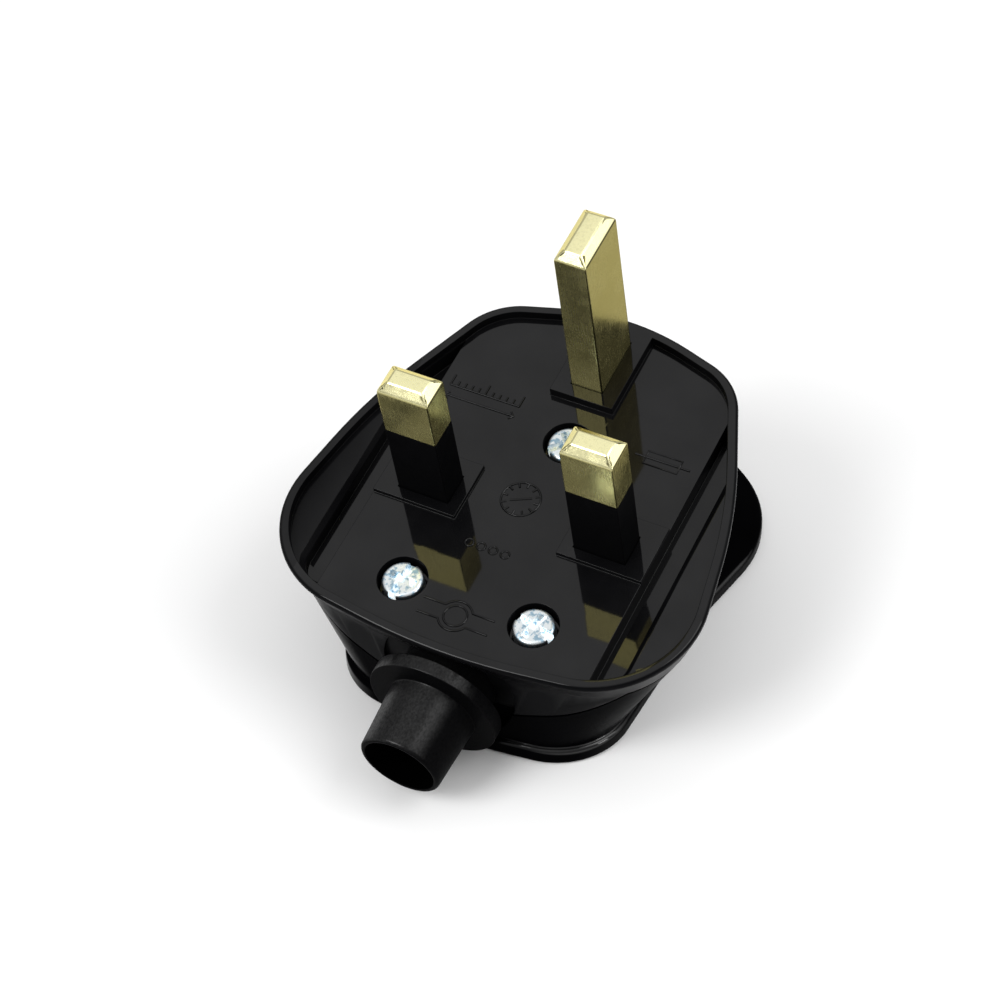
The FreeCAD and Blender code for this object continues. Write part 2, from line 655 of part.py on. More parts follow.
def make_grip_bar():
    """Make the bar that clamps the cord against the base."""
    half_y = GRIP_BAR_WIDTH / 2
    low = GRIP_BAR_TOP - GRIP_BAR_THICK
    solid = box(-GRIP_BAR_HALF, GRIP_BAR_HALF, GRIP_SCREW_Y - half_y, GRIP_SCREW_Y + half_y,
                low, GRIP_BAR_TOP)
    uprights = [e for e in solid.Edges if e.BoundBox.ZLength > GRIP_BAR_THICK / 2]
    solid = solid.makeFillet(GRIP_BAR_ROUND, uprights)
    saddle_z = GRIP_BAR_TOP + GRIP_SADDLE_R - GRIP_SADDLE_DEPTH
    tools = [rod(GRIP_SADDLE_R, V(0, GRIP_SCREW_Y - half_y, saddle_z), V(0, 1, 0), GRIP_BAR_WIDTH)]
    for x in (-GRIP_SCREW_X, GRIP_SCREW_X):
        tools.append(rod(SCREW_SHANK_R + PIN_GAP, V(x, GRIP_SCREW_Y, low), V(0, 0, 1), GRIP_BAR_THICK))
    return one_solid(solid.cut(tools))


def make_washer():
    """Make the fibre washer that keeps the cover screw in the base."""
    start = V(COVER_SCREW_X, COVER_SCREW_Y, -EDGE_DEPTH - COVER_TUBE_DEPTH)
    ring = rod(WASHER_R, start, V(0, 0, -1), WASHER_THICK)
    return ring.cut(rod(SCREW_SHANK_R + PIN_GAP, start, V(0, 0, -1), WASHER_THICK))


def make_nut():
    """Make the captive nut of the cover screw."""
    low = -NUT_BOSS_TOP - NUT_THICK
    hole = rod(SCREW_SHANK_R + PIN_GAP, V(COVER_SCREW_X, COVER_SCREW_Y, low), V(0, 0, 1), NUT_THICK)
    return hexagon(NUT_FLATS, low, NUT_THICK).cut(hole)


def terminal_screw(x, y):
    """Make a slotted terminal screw, headed towards the back."""
    head = rod(TERMINAL_HEAD_R, V(x, y, TERMINAL_Z), V(0, 0, -1), TERMINAL_HEAD_HEIGHT)
    shank = rod(TERMINAL_SCREW_R, V(x, y, TERMINAL_Z), V(0, 0, 1), TERMINAL_SHANK)
    low = TERMINAL_Z - TERMINAL_HEAD_HEIGHT
    slot = box(x - TERMINAL_HEAD_R, x + TERMINAL_HEAD_R, y - TERMINAL_SLOT / 2, y + TERMINAL_SLOT / 2,
               low, low + TERMINAL_SLOT)
    return one_solid(head.fuse(shank).cut(slot))


def make_terminal_screws():
    """Make the three screws that clamp the cores."""
    places = [(0.0, EARTH_OFFSET), (NEUTRAL_X, 0.0), (PILLAR_X, PILLAR_Y)]
    return [terminal_screw(x, y) for x, y in places]


def build():
    """Make every piece in the plug's own frame, as lists of solids by name."""
    outer, cavity = housing()
    return {
        "base": [make_base(outer, cavity)],
        "cover": [make_cover(outer, cavity)],
        "cord_guard": [make_guard()],
        "cord_grip_bar": [make_grip_bar()],
        "cord_grip_screws": make_grip_screws(),
        "cover_screw": [face_screw(COVER_SCREW_X, COVER_SCREW_Y, COVER_SCREW_LENGTH, COVER_SCREW_TURN)],
        "cover_screw_washer": [make_washer()],
        "cover_screw_nut": [make_nut()],
        "earth_pin": [make_earth_pin()],
        "neutral_pin": [make_neutral_pin()],
        "line_pin": [make_line_pin()],
        "neutral_sleeve": [make_sleeve(NEUTRAL_X)],
        "line_sleeve": [make_sleeve(LINE_X)],
        "load_terminal": [make_load_terminal()],
        "terminal_screws": make_terminal_screws(),
        "fuse_clip_pin_end": [make_clip(CLIP_AT_PIN_Y)],
        "fuse_clip_load_end": [make_clip(CLIP_AT_LOAD_Y)],
        "fuse_barrel": [make_fuse_barrel()],
        "fuse_cap_pin_end": [make_fuse_cap(FUSE_START_Y, 1)],
        "fuse_cap_load_end": [make_fuse_cap(FUSE_END_Y, -1)],
    }


def rest(pieces):
    """Turn every piece so that the sloped back lies level, under the middle of the whole plug."""
    turned = {}
    for name, solids in pieces.items():
        turned[name] = Part.makeCompound(solids).rotated(V(0, 0, 0), V(1, 0, 0), WEDGE)
    limits = Part.makeCompound(list(turned.values())).optimalBoundingBox(False)
    back = -BACK_DEPTH * math.cos(math.radians(WEDGE))
    shift = V(0, -(limits.YMin + limits.YMax) / 2, -back)
    return {name: shape.translated(shift) for name, shape in turned.items()}


def main():
    """Write one file for each named piece."""
    os.makedirs("parts", exist_ok=True)
    for name, shape in rest(build()).items():
        solid = shape.Solids[0] if len(shape.Solids) == 1 else shape
        solid.exportStep(f"parts/{name}.step")


main()
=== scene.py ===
"""Dress the rewirable three-pin plug: finishes, moulded marks, studio and camera.

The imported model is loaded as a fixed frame. Every size below is in millimetres and is given in
the plug's own frame, which is worked out from the record's pin mounts: X towards the neutral
pin, Y towards the earth pin, Z out along the pins, from a point midway between the line and
neutral pins on the face that meets the socket.
"""
from __future__ import annotations

import json
import logging
import math
from dataclasses import dataclass
from enum import Enum
from typing import Any

import bpy
from mathutils import Matrix, Vector


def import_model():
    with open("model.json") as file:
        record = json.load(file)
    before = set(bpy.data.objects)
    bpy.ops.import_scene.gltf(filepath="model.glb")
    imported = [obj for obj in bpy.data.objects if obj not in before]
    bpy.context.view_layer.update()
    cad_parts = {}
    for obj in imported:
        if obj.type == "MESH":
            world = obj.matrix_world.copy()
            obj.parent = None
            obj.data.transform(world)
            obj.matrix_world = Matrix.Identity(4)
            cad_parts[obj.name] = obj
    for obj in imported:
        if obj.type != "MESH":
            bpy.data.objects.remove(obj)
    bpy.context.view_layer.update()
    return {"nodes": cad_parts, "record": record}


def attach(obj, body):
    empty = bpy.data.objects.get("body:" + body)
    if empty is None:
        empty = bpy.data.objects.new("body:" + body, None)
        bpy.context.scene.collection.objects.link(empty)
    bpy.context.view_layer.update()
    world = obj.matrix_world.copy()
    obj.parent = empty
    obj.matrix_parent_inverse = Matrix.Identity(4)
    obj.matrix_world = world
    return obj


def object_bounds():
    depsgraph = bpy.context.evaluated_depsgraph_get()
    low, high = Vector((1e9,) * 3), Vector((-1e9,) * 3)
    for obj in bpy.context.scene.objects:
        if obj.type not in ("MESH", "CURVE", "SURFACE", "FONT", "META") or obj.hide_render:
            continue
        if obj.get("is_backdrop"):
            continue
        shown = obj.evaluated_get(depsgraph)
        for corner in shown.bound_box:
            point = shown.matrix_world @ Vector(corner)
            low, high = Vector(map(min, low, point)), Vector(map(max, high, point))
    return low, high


MM = 0.001
ROUNDING_SAMPLES = 8
FULL_TURN = 360.0
log = logging.getLogger("plug")

Colour = tuple[float, float, float]
Triple = tuple[float, float, float]
Ramp = tuple[float, float]
X_AXIS: Triple = (1.0, 0.0, 0.0)
Y_AXIS: Triple = (0.0, 1.0, 0.0)
Z_AXIS: Triple = (0.0, 0.0, 1.0)
LEFT: Triple = (-1.0, 0.0, 0.0)
EVEN: Triple = (1.0, 1.0, 1.0)


@dataclass(frozen=True)
class PlugFrame:
    """The plug's own frame inside the row frame, in metres."""

    origin: Vector
    right: Vector
    along: Vector
    out: Vector

    @classmethod
    def from_record(cls, record: dict[str, Any]) -> PlugFrame:
        """Work the frame out from the pin mounts.

        Args:
            record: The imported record.

        Returns:
            The frame whose origin lies on the socket face between the line and neutral pins.
        """
        mounts = {mount["name"]: mount for mount in record["mounts"]}
        line = mounts["line_pin_tip"]
        neutral = mounts["neutral_pin_tip"]
        out = Vector(line["axis"]).normalized()
        ends = Vector(line["pos_m"]), Vector(neutral["pos_m"])
        right = (ends[1] - ends[0]).normalized()
        origin = (ends[0] + ends[1]) / 2 - out * line["dims"]["length_mm"] * MM
        return cls(origin, right, out.cross(right), out)

    def place(self, x: float, y: float, z: float) -> Vector:
        """Give a point of the plug's frame, in millimetres, as metres in the row frame."""
        return self.origin + self.direction(x, y, z) * MM

    def direction(self, x: float, y: float, z: float) -> Vector:
        """Turn a direction of the plug's frame into the row frame."""
        return self.right * x + self.along * y + self.out * z

    def turn(self) -> Matrix:
        """Give the rotation from the plug's frame to the row frame."""
        return Matrix((self.right, self.along, self.out)).transposed()


class Run(Enum):
    """How a drawn line ends."""

    OPEN = "open"
    CLOSED = "closed"


class NodeNet:
    """A material's node tree with short ways to add and join its nodes."""

    def __init__(self, name: str, frame: PlugFrame) -> None:
        """Start an empty material that ends in one principled shader.

        Args:
            name: The material's name.
            frame: The plug's frame, for coordinates in its millimetres.
        """
        self.material = bpy.data.materials.new(name)
        self.material.use_nodes = True
        self.tree = self.material.node_tree
        self.frame = frame
        self.shader = self.tree.nodes["Principled BSDF"]

    def add(self, kind: str, **settings: Any) -> bpy.types.Node:
        """Add a node.

        Args:
            kind: The node's type name.
            settings: Properties of the node to set.

        Returns:
            The new node.
        """
        node = self.tree.nodes.new(kind)
        for key, value in settings.items():
            setattr(node, key, value)
        return node

    def join(self, source: Any, target: Any) -> None:
        """Link an output socket to an input socket."""
        self.tree.links.new(source, target)

    def millimetres(self, stretch: Triple = EVEN) -> Any:
        """Give coordinates in millimetres of the plug's frame.

        Args:
            stretch: Factors on X, Y and Z, for grain that runs one way.

        Returns:
            The vector output socket.
        """
        coords = self.add("ShaderNodeTexCoord")
        turn = self.frame.turn().transposed()
        mapping = self.add("ShaderNodeMapping")
        mapping.inputs["Scale"].default_value = (1 / MM, 1 / MM, 1 / MM)
        mapping.inputs["Rotation"].default_value = turn.to_euler()
        mapping.inputs["Location"].default_value = turn @ self.frame.origin * (-1 / MM)
        self.join(coords.outputs["Object"], mapping.inputs["Vector"])
        if stretch == EVEN:
            return mapping.outputs["Vector"]
        scale = self.add("ShaderNodeVectorMath", operation="MULTIPLY")
        scale.inputs[1].default_value = stretch
        self.join(mapping.outputs["Vector"], scale.inputs[0])
        return scale.outputs["Vector"]

    def noise(self, vector: Any, scale: float, detail: float = 3.0, rough: float = 0.5) -> Any:
        """Add a noise texture.

        Args:
            vector: The coordinates' output socket.
            scale: Features per millimetre.
            detail: Octaves.
            rough: Weight of the finer octaves.

        Returns:
            The factor output socket.
        """
        node = self.add("ShaderNodeTexNoise")
        node.inputs["Scale"].default_value = scale
        node.inputs["Detail"].default_value = detail
        node.inputs["Roughness"].default_value = rough
        self.join(vector, node.inputs["Vector"])
        return node.outputs["Fac"]

    def spread(self, factor: Any, low: float, high: float, start: float = 0.3, end: float = 0.7) -> Any:
        """Map a factor from start..end to low..high, clamped.

        Args:
            factor: The output socket to map.
            low: Value at start.
            high: Value at end.
            start: Factor that gives low.
            end: Factor that gives high.

        Returns:
            The mapped output socket.
        """
        node = self.add("ShaderNodeMapRange")
        node.inputs["From Min"].default_value = start
        node.inputs["From Max"].default_value = end
        node.inputs["To Min"].default_value = low
        node.inputs["To Max"].default_value = high
        self.join(factor, node.inputs["Value"])
        return node.outputs["Result"]

    def blend(self, factor: Any, first: Colour, second: Colour) -> Any:
        """Mix two colours by a factor.

        Args:
            factor: The output socket that mixes.
            first: Colour at 0.
            second: Colour at 1.

        Returns:
            The colour output socket.
        """
        node = self.add("ShaderNodeMix", data_type="RGBA")
        node.inputs["A"].default_value = (*first, 1.0)
        node.inputs["B"].default_value = (*second, 1.0)
        self.join(factor, node.inputs["Factor"])
        return node.outputs["Result"]

    def overlay(self, factor: Any, under: Any, colour: Colour) -> Any:
        """Lay a colour over a colour socket by a factor.

        Args:
            factor: The output socket that mixes.
            under: The colour socket shown at 0.
            colour: Colour at 1.

        Returns:
            The colour output socket.
        """
        node = self.add("ShaderNodeMix", data_type="RGBA")
        node.inputs["B"].default_value = (*colour, 1.0)
        self.join(factor, node.inputs["Factor"])
        self.join(under, node.inputs["A"])
        return node.outputs["Result"]

    def math(self, operation: str, first: Any, second: Any) -> Any:
        """Combine two values.

        Args:
            operation: Blender's name of the operation.
            first: An output socket.
            second: An output socket or a number.

        Returns:
            The result socket.
        """
        node = self.add("ShaderNodeMath", operation=operation)
        self.join(first, node.inputs[0])
        if isinstance(second, (int, float)):
            node.inputs[1].default_value = second
        else:
            self.join(second, node.inputs[1])
        return node.outputs["Value"]

    def facing(self, way: Triple, normal: Any = None) -> Any:
        """Give how squarely the surface looks along a direction of the plug's frame, from -1 to 1.

        Args:
            way: The direction, of any length.
            normal: The normal to take in place of the surface's own.

        Returns:
            The value output socket.
        """
        if normal is None:
            normal = self.add("ShaderNodeTexCoord").outputs["Normal"]
        node = self.add("ShaderNodeVectorMath", operation="DOT_PRODUCT")
        node.inputs[1].default_value = self.frame.direction(*way).normalized()
        self.join(normal, node.inputs[0])
        return node.outputs["Value"]

    def rounded(self, radius: float, share: Any) -> Any:
        """Give a normal that turns softly over sharp edges.

        Args:
            radius: Radius of the rounding in millimetres.
            share: How much of the rounding is taken, from 0 to 1, as an output socket.

        Returns:
            The normal output socket.
        """
        bevel = self.add("ShaderNodeBevel", samples=ROUNDING_SAMPLES)
        bevel.inputs["Radius"].default_value = radius * MM
        own = self.add("ShaderNodeNewGeometry").outputs["Normal"]
        node = self.add("ShaderNodeMix", data_type="VECTOR")
        self.join(share, node.inputs["Factor"])
        self.join(own, node.inputs["A"])
        self.join(bevel.outputs["Normal"], node.inputs["B"])
        return node.outputs["Result"]

    def along(self, place: Any, axis: Triple) -> Any:
        """Give how far a place lies along an axis.

        Args:
            place: Coordinates in the plug's millimetres.
            axis: The axis as a unit vector.

        Returns:
            The value output socket.
        """
        node = self.add("ShaderNodeVectorMath", operation="DOT_PRODUCT")
        node.inputs[1].default_value = axis
        self.join(place, node.inputs[0])
        return node.outputs["Value"]

    def height(self, place: Any) -> Any:
        """Give how high a place lies above the floor.

        Args:
            place: Coordinates in the plug's millimetres.

        Returns:
            The value output socket, in millimetres.
        """
        frame = self.frame
        rise = self.along(place, (frame.right.z, frame.along.z, frame.out.z))
        return self.math("ADD", rise, frame.origin.z / MM)

    def reach(self, place: Any, drop: float) -> Any:
        """Give the distance from an axis along Y that lies below the face.

        Args:
            place: Coordinates in the plug's millimetres.
            drop: How far the axis lies below the face, in millimetres.

        Returns:
            The value output socket.
        """
        across = self.add("ShaderNodeVectorMath", operation="MULTIPLY_ADD")
        across.inputs[1].default_value = (1.0, 0.0, 1.0)
        across.inputs[2].default_value = (0.0, 0.0, drop)
        self.join(place, across.inputs[0])
        length = self.add("ShaderNodeVectorMath", operation="LENGTH")
        self.join(across.outputs["Vector"], length.inputs[0])
        return length.outputs["Value"]

    def relief(self, height: Any, depth: float, under: Any = None) -> Any:
        """Add a bump.

        Args:
            height: The height's output socket, from 0 to 1.
            depth: Depth of the bump in millimetres.
            under: Normal to lay this bump on.

        Returns:
            The normal output socket.
        """
        node = self.add("ShaderNodeBump")
        node.inputs["Strength"].default_value = 1.0
        node.inputs["Distance"].default_value = depth * MM
        self.join(height, node.inputs["Height"])
        if under is not None:
            self.join(under, node.inputs["Normal"])
        return node.outputs["Normal"]

    def set(self, **sockets: float | Colour) -> None:
        """Set constants on the shader's own sockets, named with underscores for spaces."""
        for key, value in sockets.items():
            socket = self.shader.inputs[key.replace("_", " ")]
            socket.default_value = (*value, 1.0) if isinstance(value, tuple) else value

    def drive(self, **sockets: Any) -> None:
        """Join output sockets to the shader's sockets, named with underscores for spaces."""
        for key, value in sockets.items():
            self.join(value, self.shader.inputs[key.replace("_", " ")])


@dataclass(frozen=True)
class MouldedPlastic:
    """Black moulding: polished where it looks out along the pins, less so on the sides.

    Polish is the weight of a clear coat. A ramp on a facing gives where a polish starts and where
    it is full, and a ramp on a place does the same in millimetres.
    """

    name: str
    dark: Colour = (0.0022, 0.0022, 0.0026)
    light: Colour = (0.0042, 0.0042, 0.0047)
    satin: Ramp = (0.25, 0.4)
    level: float = 0.02
    polish: float = 0.65
    polish_ramp: Ramp = (0.8, 0.97)
    polish_gloss: float = 0.05
    polish_wear: Ramp = (0.9, 1.0)
    side_polish: float = 0.5
    rear_ramp: Ramp = (0.1, 0.6)
    left_ramp: Ramp = (0.2, 0.8)
    right_polish: float = 0.3
    right_ramp: Ramp = (0.65, 0.95)
    right_place: Ramp = (12.0, 17.0)
    steep_ramp: Ramp = (0.3, 0.6)
    edge_polish: float = 0.0
    edge_way: Triple = (0.55, -0.4, 0.73)
    edge_ramp: Ramp = (0.8, 0.92)
    edge_round: float = 0.0
    edge_height: Ramp = (100.0, 102.0)
    opening: Ramp = (0.0, 0.5)
    opening_drop: float = 7.9
    lane_polish: Ramp = (0.15, 0.5)
    lane_place: Ramp = (-24.0, -20.0)
    lane_end: Ramp = (-19.95, -19.85)
    rim_polish: float = 0.7
    rim_place: Ramp = (-0.6, -0.3)
    cloud_scale: float = 0.16
    grain_scale: float = 6.0
    grain_depth: float = 0.0015
    sink_scale: float = 0.09
    sink_depth: float = 0.012

    def make(self, frame: PlugFrame) -> bpy.types.Material:
        """Make the material.

        Args:
            frame: The plug's frame.

        Returns:
            The material.
        """
        net = NodeNet(self.name, frame)
        place = net.millimetres()
        cloud = net.noise(place, self.cloud_scale, detail=4.0)
        grain = net.noise(place, self.grain_scale, detail=3.0)
        sink = net.noise(place, self.sink_scale, detail=1.0)
        low = net.spread(net.height(place), 1.0, 0.0, *self.edge_height)
        soft = net.rounded(self.edge_round, low) if self.edge_round else None
        ridge = net.spread(net.facing(self.edge_way, soft), 0.0, self.edge_polish, *self.edge_ramp)
        clear = net.spread(net.reach(place, self.opening_drop), 0.0, 1.0, *self.opening)
        edge = net.math("MULTIPLY", ridge, net.math("MULTIPLY", low, clear))
        flats = net.math("MAXIMUM", self.face_coat(net, place), self.side_coat(net, place))
        coat = net.math("MAXIMUM", flats, edge)
        net.drive(
            Base_Color=net.blend(net.spread(cloud, 0.0, 1.0), self.dark, self.light),
            Roughness=net.spread(cloud, *self.satin),
            Coat_Weight=net.math("MULTIPLY", coat, net.spread(cloud, *self.polish_wear)),
            Normal=net.relief(grain, self.grain_depth, soft),
            Coat_Normal=net.relief(sink, self.sink_depth, soft),
        )
        net.set(Specular_IOR_Level=self.level, Coat_Roughness=self.polish_gloss)
        return net.material

    def face_coat(self, net: NodeNet, place: Any) -> Any:
        """Give the coat of what looks out along the pins, thinner in the lane at the left.

        Args:
            net: The material's node tree.
            place: Coordinates in the plug's millimetres.

        Returns:
            The value output socket.
        """
        across = net.along(place, X_AXIS)
        lane = net.spread(across, *self.lane_polish, *self.lane_place)
        inner = net.spread(across, 0.0, 1.0, *self.lane_end)
        rim = net.spread(net.along(place, Z_AXIS), 0.0, self.rim_polish, *self.rim_place)
        even = net.math("MAXIMUM", net.math("MAXIMUM", lane, inner), rim)
        face = net.spread(net.facing(Z_AXIS), 0.0, self.polish, *self.polish_ramp)
        return net.math("MULTIPLY", face, even)

    def side_coat(self, net: NodeNet, place: Any) -> Any:
        """Give the coat of the steep walls at the earth end, the left and the right.

        Args:
            net: The material's node tree.
            place: Coordinates in the plug's millimetres.

        Returns:
            The value output socket.
        """
        rear = net.spread(net.facing(Y_AXIS), 0.0, self.side_polish, *self.rear_ramp)
        left = net.spread(net.facing(LEFT), 0.0, self.side_polish, *self.left_ramp)
        right = net.spread(net.facing(X_AXIS), 0.0, self.right_polish, *self.right_ramp)
        outer = net.spread(net.along(place, X_AXIS), 0.0, 1.0, *self.right_place)
        ends = net.math("MAXIMUM", rear, left)
        sides = net.math("MAXIMUM", ends, net.math("MULTIPLY", right, outer))
        steep = net.spread(net.facing(Z_AXIS), 1.0, 0.0, *self.steep_ramp)
        return net.math("MULTIPLY", sides, steep)


@dataclass(frozen=True)
class SoftGuardPlastic:
    """Soft black guard plastic, scuffed along its length, with a dull bore whose colour is painted
    darker as shade.
    """

    name: str
    dark: Colour = (0.0014, 0.0014, 0.0016)
    light: Colour = (0.0032, 0.0032, 0.0035)
    # Painted shade: the bore's colour, darker than the guard's own black.
    inside: Colour = (0.0003, 0.0003, 0.0003)
    gloss: Ramp = (0.52, 0.36)
    level: float = 0.01
    sheen: float = 0.8
    sheen_gloss: float = 0.3
    sheen_way: Triple = (-0.6, 0.0, 0.8)
    sheen_ramp: Ramp = (0.1, 0.7)
    upward_ramp: Ramp = (0.3, 0.8)
    scuff_stretch: Triple = (1.0, 0.6, 1.0)
    scuff_scale: float = 4.5
    scuff_rough: float = 0.65
    scuff_share: Ramp = (0.5, 1.0)
    scuff_ramp: Ramp = (0.35, 0.65)
    scuff_depth: float = 0.015
    grain_scale: float = 9.0
    grain_depth: float = 0.006
    bore: Ramp = (4.22, 4.32)
    drop: float = 7.9

    def make(self, frame: PlugFrame) -> bpy.types.Material:
        """Make the material.

        Args:
            frame: The plug's frame.

        Returns:
            The material.
        """
        net = NodeNet(self.name, frame)
        place = net.millimetres()
        streaks = net.millimetres(self.scuff_stretch)
        scuffs = net.noise(streaks, self.scuff_scale, detail=4.0, rough=self.scuff_rough)
        grain = net.noise(place, self.grain_scale, detail=2.0)
        reach = net.reach(place, self.drop)
        # Mask of the bore: painted shade in its colour, and a rougher surface.
        bore_shade_and_matte = net.spread(reach, 1.0, 0.0, *self.bore)
        outside = net.spread(reach, 0.0, 1.0, *self.bore)
        leftward = net.spread(net.facing(self.sheen_way), 0.0, self.sheen, *self.sheen_ramp)
        upward = net.spread(net.facing(Z_AXIS), 0.0, 1.0, *self.upward_ramp)
        lit = net.math("MULTIPLY", leftward, upward)
        scuffed = net.math("MULTIPLY", lit, net.spread(scuffs, *self.scuff_share, *self.scuff_ramp))
        colour = net.blend(net.spread(scuffs, 0.0, 1.0), self.dark, self.light)
        normal = net.relief(grain, self.grain_depth, under=net.relief(scuffs, self.scuff_depth))
        net.drive(
            Base_Color=net.overlay(bore_shade_and_matte, colour, self.inside),
            Roughness=net.math("MAXIMUM", net.spread(scuffs, *self.gloss), bore_shade_and_matte),
            Coat_Weight=net.math("MULTIPLY", scuffed, outside),
            Normal=normal,
            Coat_Normal=normal,
        )
        net.set(Specular_IOR_Level=self.level, Coat_Roughness=self.sheen_gloss)
        return net.material


@dataclass(frozen=True)
class SleevePlastic:
    """Deep black insulating sleeve with a low sheen."""

    name: str
    dark: Colour = (0.0012, 0.0012, 0.0015)
    light: Colour = (0.0022, 0.0022, 0.0025)
    gloss: Ramp = (0.5, 0.6)
    level: float = 0.02
    cloud_scale: float = 0.5
    grain_scale: float = 8.0
    grain_depth: float = 0.002

    def make(self, frame: PlugFrame) -> bpy.types.Material:
        """Make the material.

        Args:
            frame: The plug's frame.

        Returns:
            The material.
        """
        net = NodeNet(self.name, frame)
        place = net.millimetres()
        cloud = net.noise(place, self.cloud_scale, detail=3.0)
        grain = net.noise(place, self.grain_scale, detail=2.0)
        net.drive(
            Base_Color=net.blend(net.spread(cloud, 0.0, 1.0), self.dark, self.light),
            Roughness=net.spread(cloud, *self.gloss),
            Normal=net.relief(grain, self.grain_depth),
        )
        net.set(Specular_IOR_Level=self.level)
        return net.material


@dataclass(frozen=True)
class DrawnBrass:
    """Pale brass with draw lines, painted shade on its right faces and some edges, and a tip bright
    from use and painted highlight.
    """

    name: str
    bright: Colour = (0.41, 0.375, 0.17)
    dull: Colour = (0.3, 0.275, 0.115)
    # Tip colour: partly wear from use, partly a painted highlight on the up-facing tip faces.
    tip: Colour = (1.0, 0.95, 0.55)
    edge: Colour = (0.85, 0.75, 0.42)
    # Painted shade colour, laid on the faces that look right and on dark edge lines.
    brass_shade: Colour = (0.03, 0.025, 0.01)
    # Painted dark reflection lines on the eased edges that face corner_way and ridge_way.
    edge_line_shade: float = 0.85
    corner_way: Triple = (1.0, -1.0, 0.0)
    corner_ramp: Ramp = (0.9, 0.96)
    ridge_way: Triple = (0.92, 0.0, 0.39)
    ridge_ramp: Ramp = (0.955, 0.985)
    # Painted shade on the faces that look right.
    right_side_shade: float = 0.3
    side_ramp: Ramp = (0.6, 0.95)
    tip_ramp: Ramp = (0.4, 0.75)
    film: float = 0.82
    gloss: Ramp = (0.15, 0.32)
    gloss_ramp: Ramp = (0.75, 1.25)
    lines: Triple = (1.0, 1.0, 0.08)
    line_scale: float = 7.0
    line_depth: float = 0.0006
    stain_scale: float = 0.35
    stain_ramp: Ramp = (0.2, 0.8)
    speck_scale: float = 3.0
    speck_share: Ramp = (0.88, 1.0)
    speck_ramp: Ramp = (0.35, 0.5)

    def make(self, frame: PlugFrame) -> bpy.types.Material:
        """Make the material.

        Args:
            frame: The plug's frame.

        Returns:
            The material.
        """
        net = NodeNet(self.name, frame)
        place = net.millimetres()
        drawn = net.noise(net.millimetres(self.lines), self.line_scale, detail=4.0, rough=0.6)
        stain = net.noise(place, self.stain_scale, detail=4.0, rough=0.6)
        speck = net.noise(place, self.speck_scale, detail=3.0, rough=0.7)
        clean = net.blend(net.spread(stain, 0.0, 1.0, *self.stain_ramp), self.dull, self.bright)
        # Painted shade: the faces that look right are darkened towards the shade colour.
        shaded = net.spread(net.facing(X_AXIS), 0.0, self.right_side_shade, *self.side_ramp)
        sides = net.overlay(shaded, clean, self.brass_shade)
        # The up-facing tip faces take the pale tip colour: partly wear, partly a painted highlight.
        tip_wear_and_light = net.spread(net.facing(Z_AXIS), 0.0, 1.0, *self.tip_ramp)
        tip_wear_and_highlight = net.math("MULTIPLY", tip_wear_and_light, net.spread(speck, *self.speck_share, *self.speck_ramp))
        # Painted dark reflection lines along the right-front eased edges and the ridges.
        corner = net.spread(net.facing(self.corner_way), 0.0, self.edge_line_shade, *self.corner_ramp)
        ridge = net.spread(net.facing(self.ridge_way), 0.0, self.edge_line_shade, *self.ridge_ramp)
        painted_edge_lines = net.math("MAXIMUM", corner, ridge)
        net.drive(
            Base_Color=net.overlay(painted_edge_lines, net.overlay(tip_wear_and_highlight, sides, self.tip), self.brass_shade),
            Metallic=net.spread(tip_wear_and_light, self.film, 1.0, 0.0, 1.0),
            Roughness=net.spread(net.math("ADD", drawn, stain), *self.gloss, *self.gloss_ramp),
            Normal=net.relief(drawn, self.line_depth),
        )
        net.set(Specular_Tint=self.edge)
        return net.material


@dataclass(frozen=True)
class PlatedSteel:
    """Bright plating with cloudy patches."""

    name: str
    bright: Colour = (0.88, 0.93, 0.95)
    dull: Colour = (0.34, 0.5, 0.62)
    gloss: Ramp = (0.44, 0.24)
    patch_scale: float = 1.6
    patch_ramp: Ramp = (0.4, 0.5)
    grain_scale: float = 10.0
    grain_depth: float = 0.003

    def make(self, frame: PlugFrame) -> bpy.types.Material:
        """Make the material.

        Args:
            frame: The plug's frame.

        Returns:
            The material.
        """
        net = NodeNet(self.name, frame)
        place = net.millimetres()
        cloud = net.noise(place, self.patch_scale, detail=4.0, rough=0.6)
        grain = net.noise(place, self.grain_scale, detail=3.0)
        net.drive(
            Base_Color=net.blend(net.spread(cloud, 0.0, 1.0, *self.patch_ramp), self.dull, self.bright),
            Roughness=net.spread(cloud, *self.gloss),
            Normal=net.relief(grain, self.grain_depth),
        )
        net.set(Metallic=1.0)
        return net.material


@dataclass(frozen=True)
class DullSolid:
    """A non-metal with a cloudy colour and a fine grain, such as ceramic or fibre."""

    name: str
    dark: Colour
    light: Colour
    gloss: Ramp
    patch_scale: float = 0.8
    grain_scale: float = 7.0
    grain_depth: float = 0.004

    def make(self, frame: PlugFrame) -> bpy.types.Material:
        """Make the material.

        Args:
            frame: The plug's frame.

        Returns:
            The material.
        """
        net = NodeNet(self.name, frame)
        place = net.millimetres()
        cloud = net.noise(place, self.patch_scale, detail=4.0)
        grain = net.noise(place, self.grain_scale, detail=3.0)
        net.drive(
            Base_Color=net.blend(net.spread(cloud, 0.0, 1.0), self.dark, self.light),
            Roughness=net.spread(grain, *self.gloss),
            Normal=net.relief(grain, self.grain_depth),
        )
        return net.material


Finish = MouldedPlastic | SoftGuardPlastic | SleevePlastic | DrawnBrass | PlatedSteel | DullSolid


